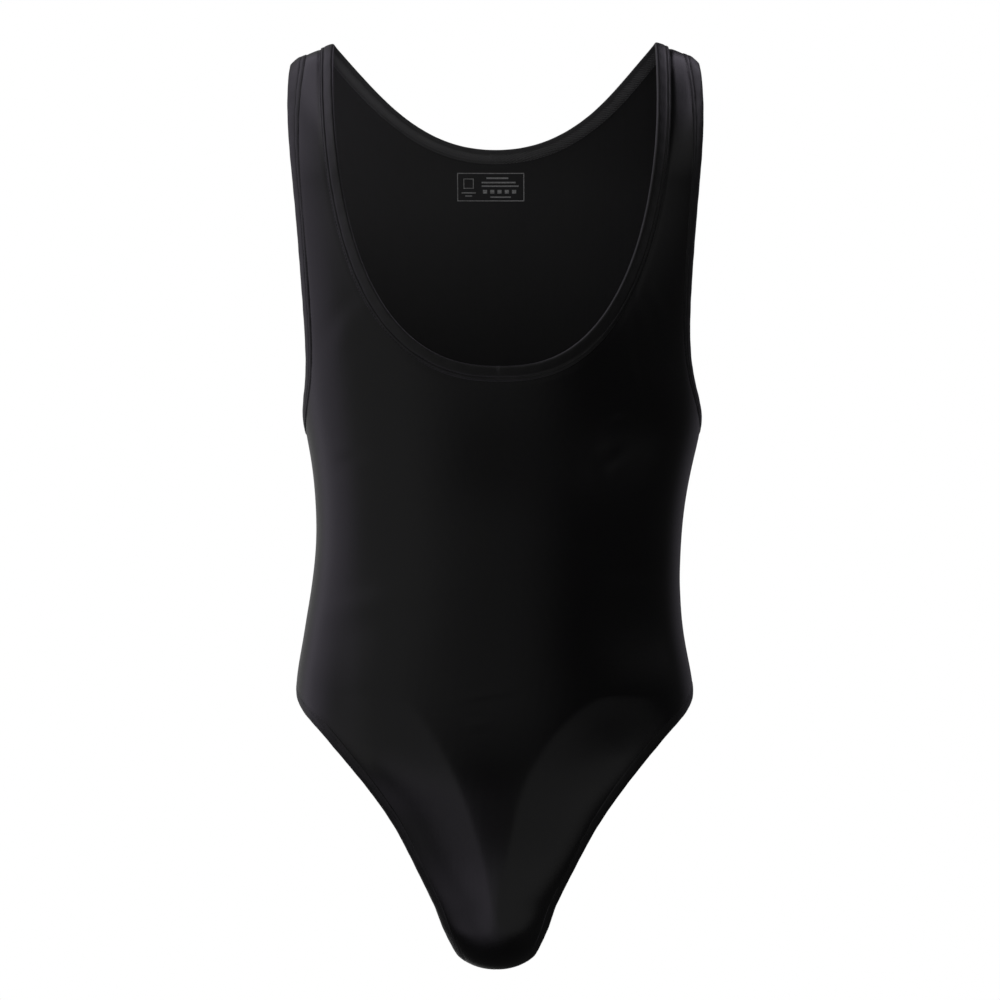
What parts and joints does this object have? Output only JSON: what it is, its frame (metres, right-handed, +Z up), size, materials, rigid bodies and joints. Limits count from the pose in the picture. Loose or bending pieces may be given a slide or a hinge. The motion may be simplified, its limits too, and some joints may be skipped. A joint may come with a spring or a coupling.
{
  "type": "fitness leotard",
  "caption": "Sleeveless one-piece fitness leotard in stretch knit, with a deep scooped neck, high-cut legs and folded bindings, filled out as worn.",
  "frame": {"origin": "midway between the two shoulder straps, at the underside of their tops, where the wearer's shoulders hold it up", "axes": "+Z up along the garment, the front faces -Y, +X to the right as the front is seen"},
  "size_m": [0.328, 0.2233, 0.7387],
  "materials": {
    "knit": "smooth glossy black stretch knit",
    "binding": "folded black stretch knit with double stitching"
  },
  "bodies": {
    "root": {"front_panel": "knit", "back_panel": "knit", "neck_binding": "binding", "armhole_binding_left": "binding", "armhole_binding_right": "binding", "leg_binding_left": "binding", "leg_binding_right": "binding"}
  },
  "joints": []
}
